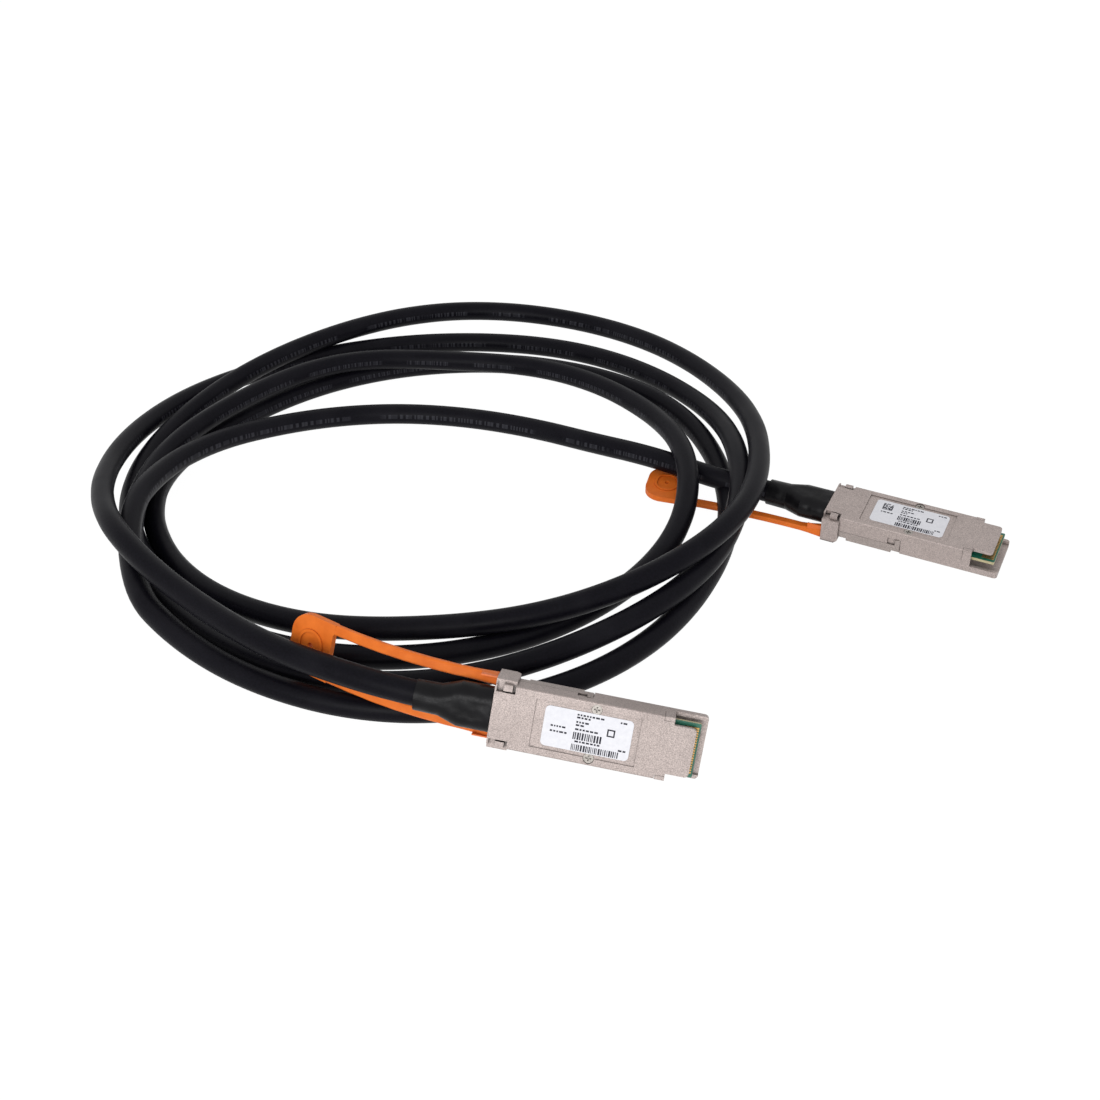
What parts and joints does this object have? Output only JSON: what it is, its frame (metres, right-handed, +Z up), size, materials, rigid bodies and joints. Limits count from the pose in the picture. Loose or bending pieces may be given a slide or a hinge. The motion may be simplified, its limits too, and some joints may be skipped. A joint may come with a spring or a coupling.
{
  "type": "direct attach copper cable",
  "caption": "Direct attach copper network cable: loosely coiled black round cable, a metal pluggable connector with an orange pull tab on each end.",
  "frame": {"origin": "on the bench, in the middle of the box around the two connectors with their pull tabs, the cable left out", "axes": "+Z up, +Y away from the viewer across the coil, +X to the right along the longest extent of the connectors' box"},
  "size_m": [0.3112, 0.2779, 0.0279],
  "materials": {
    "housing": "satin nickel plate on die-cast zinc",
    "steel": "stamped stainless steel",
    "screw_steel": "plated steel",
    "label_stock": "matt white label stock",
    "circuit_board": "green solder mask with pale edges",
    "gold_contact": "gold plate",
    "chip_black": "moulded package",
    "pair_foil": "foil wrap",
    "tab_plastic": "moulded orange plastic",
    "sleeve_black": "heat-shrunk sleeve",
    "jacket_black": "satin black jacket"
  },
  "bodies": {
    "root": {"base_shell_a": "housing", "top_cover_a": "housing", "cover_screws_a": "screw_steel", "label_a": "label_stock", "paddle_card_a": "circuit_board", "contact_pads_a": "gold_contact", "memory_chip_a": "chip_black", "wire_pairs_a": "pair_foil", "crimp_ferrule_a": "steel", "return_spring_a": "steel", "shrink_sleeve_a": "sleeve_black", "base_shell_b": "housing", "top_cover_b": "housing", "cover_screws_b": "screw_steel", "label_b": "label_stock", "paddle_card_b": "circuit_board", "contact_pads_b": "gold_contact", "memory_chip_b": "chip_black", "wire_pairs_b": "pair_foil", "crimp_ferrule_b": "steel", "return_spring_b": "steel", "shrink_sleeve_b": "sleeve_black", "cable_lead_a": "jacket_black", "cable_lead_b": "jacket_black", "cable_coil": "jacket_black"},
    "tab_a": {"latch_slider_a": "steel", "pull_tab_a": "tab_plastic"},
    "tab_b": {"latch_slider_b": "steel", "pull_tab_b": "tab_plastic"}
  },
  "joints": [
    {"name": "tab_a_slide", "type": "slide", "parent": "root", "child": "tab_a", "axis": [-0.9796, 0.1727, 0.1028], "range_m": [0, 0.0025], "stiffness_N_per_m": 900, "springref_m": -0.001},
    {"name": "tab_b_slide", "type": "slide", "parent": "root", "child": "tab_b", "axis": [-0.8988, 0.4384, 0], "range_m": [0, 0.0025], "stiffness_N_per_m": 900, "springref_m": -0.001}
  ]
}
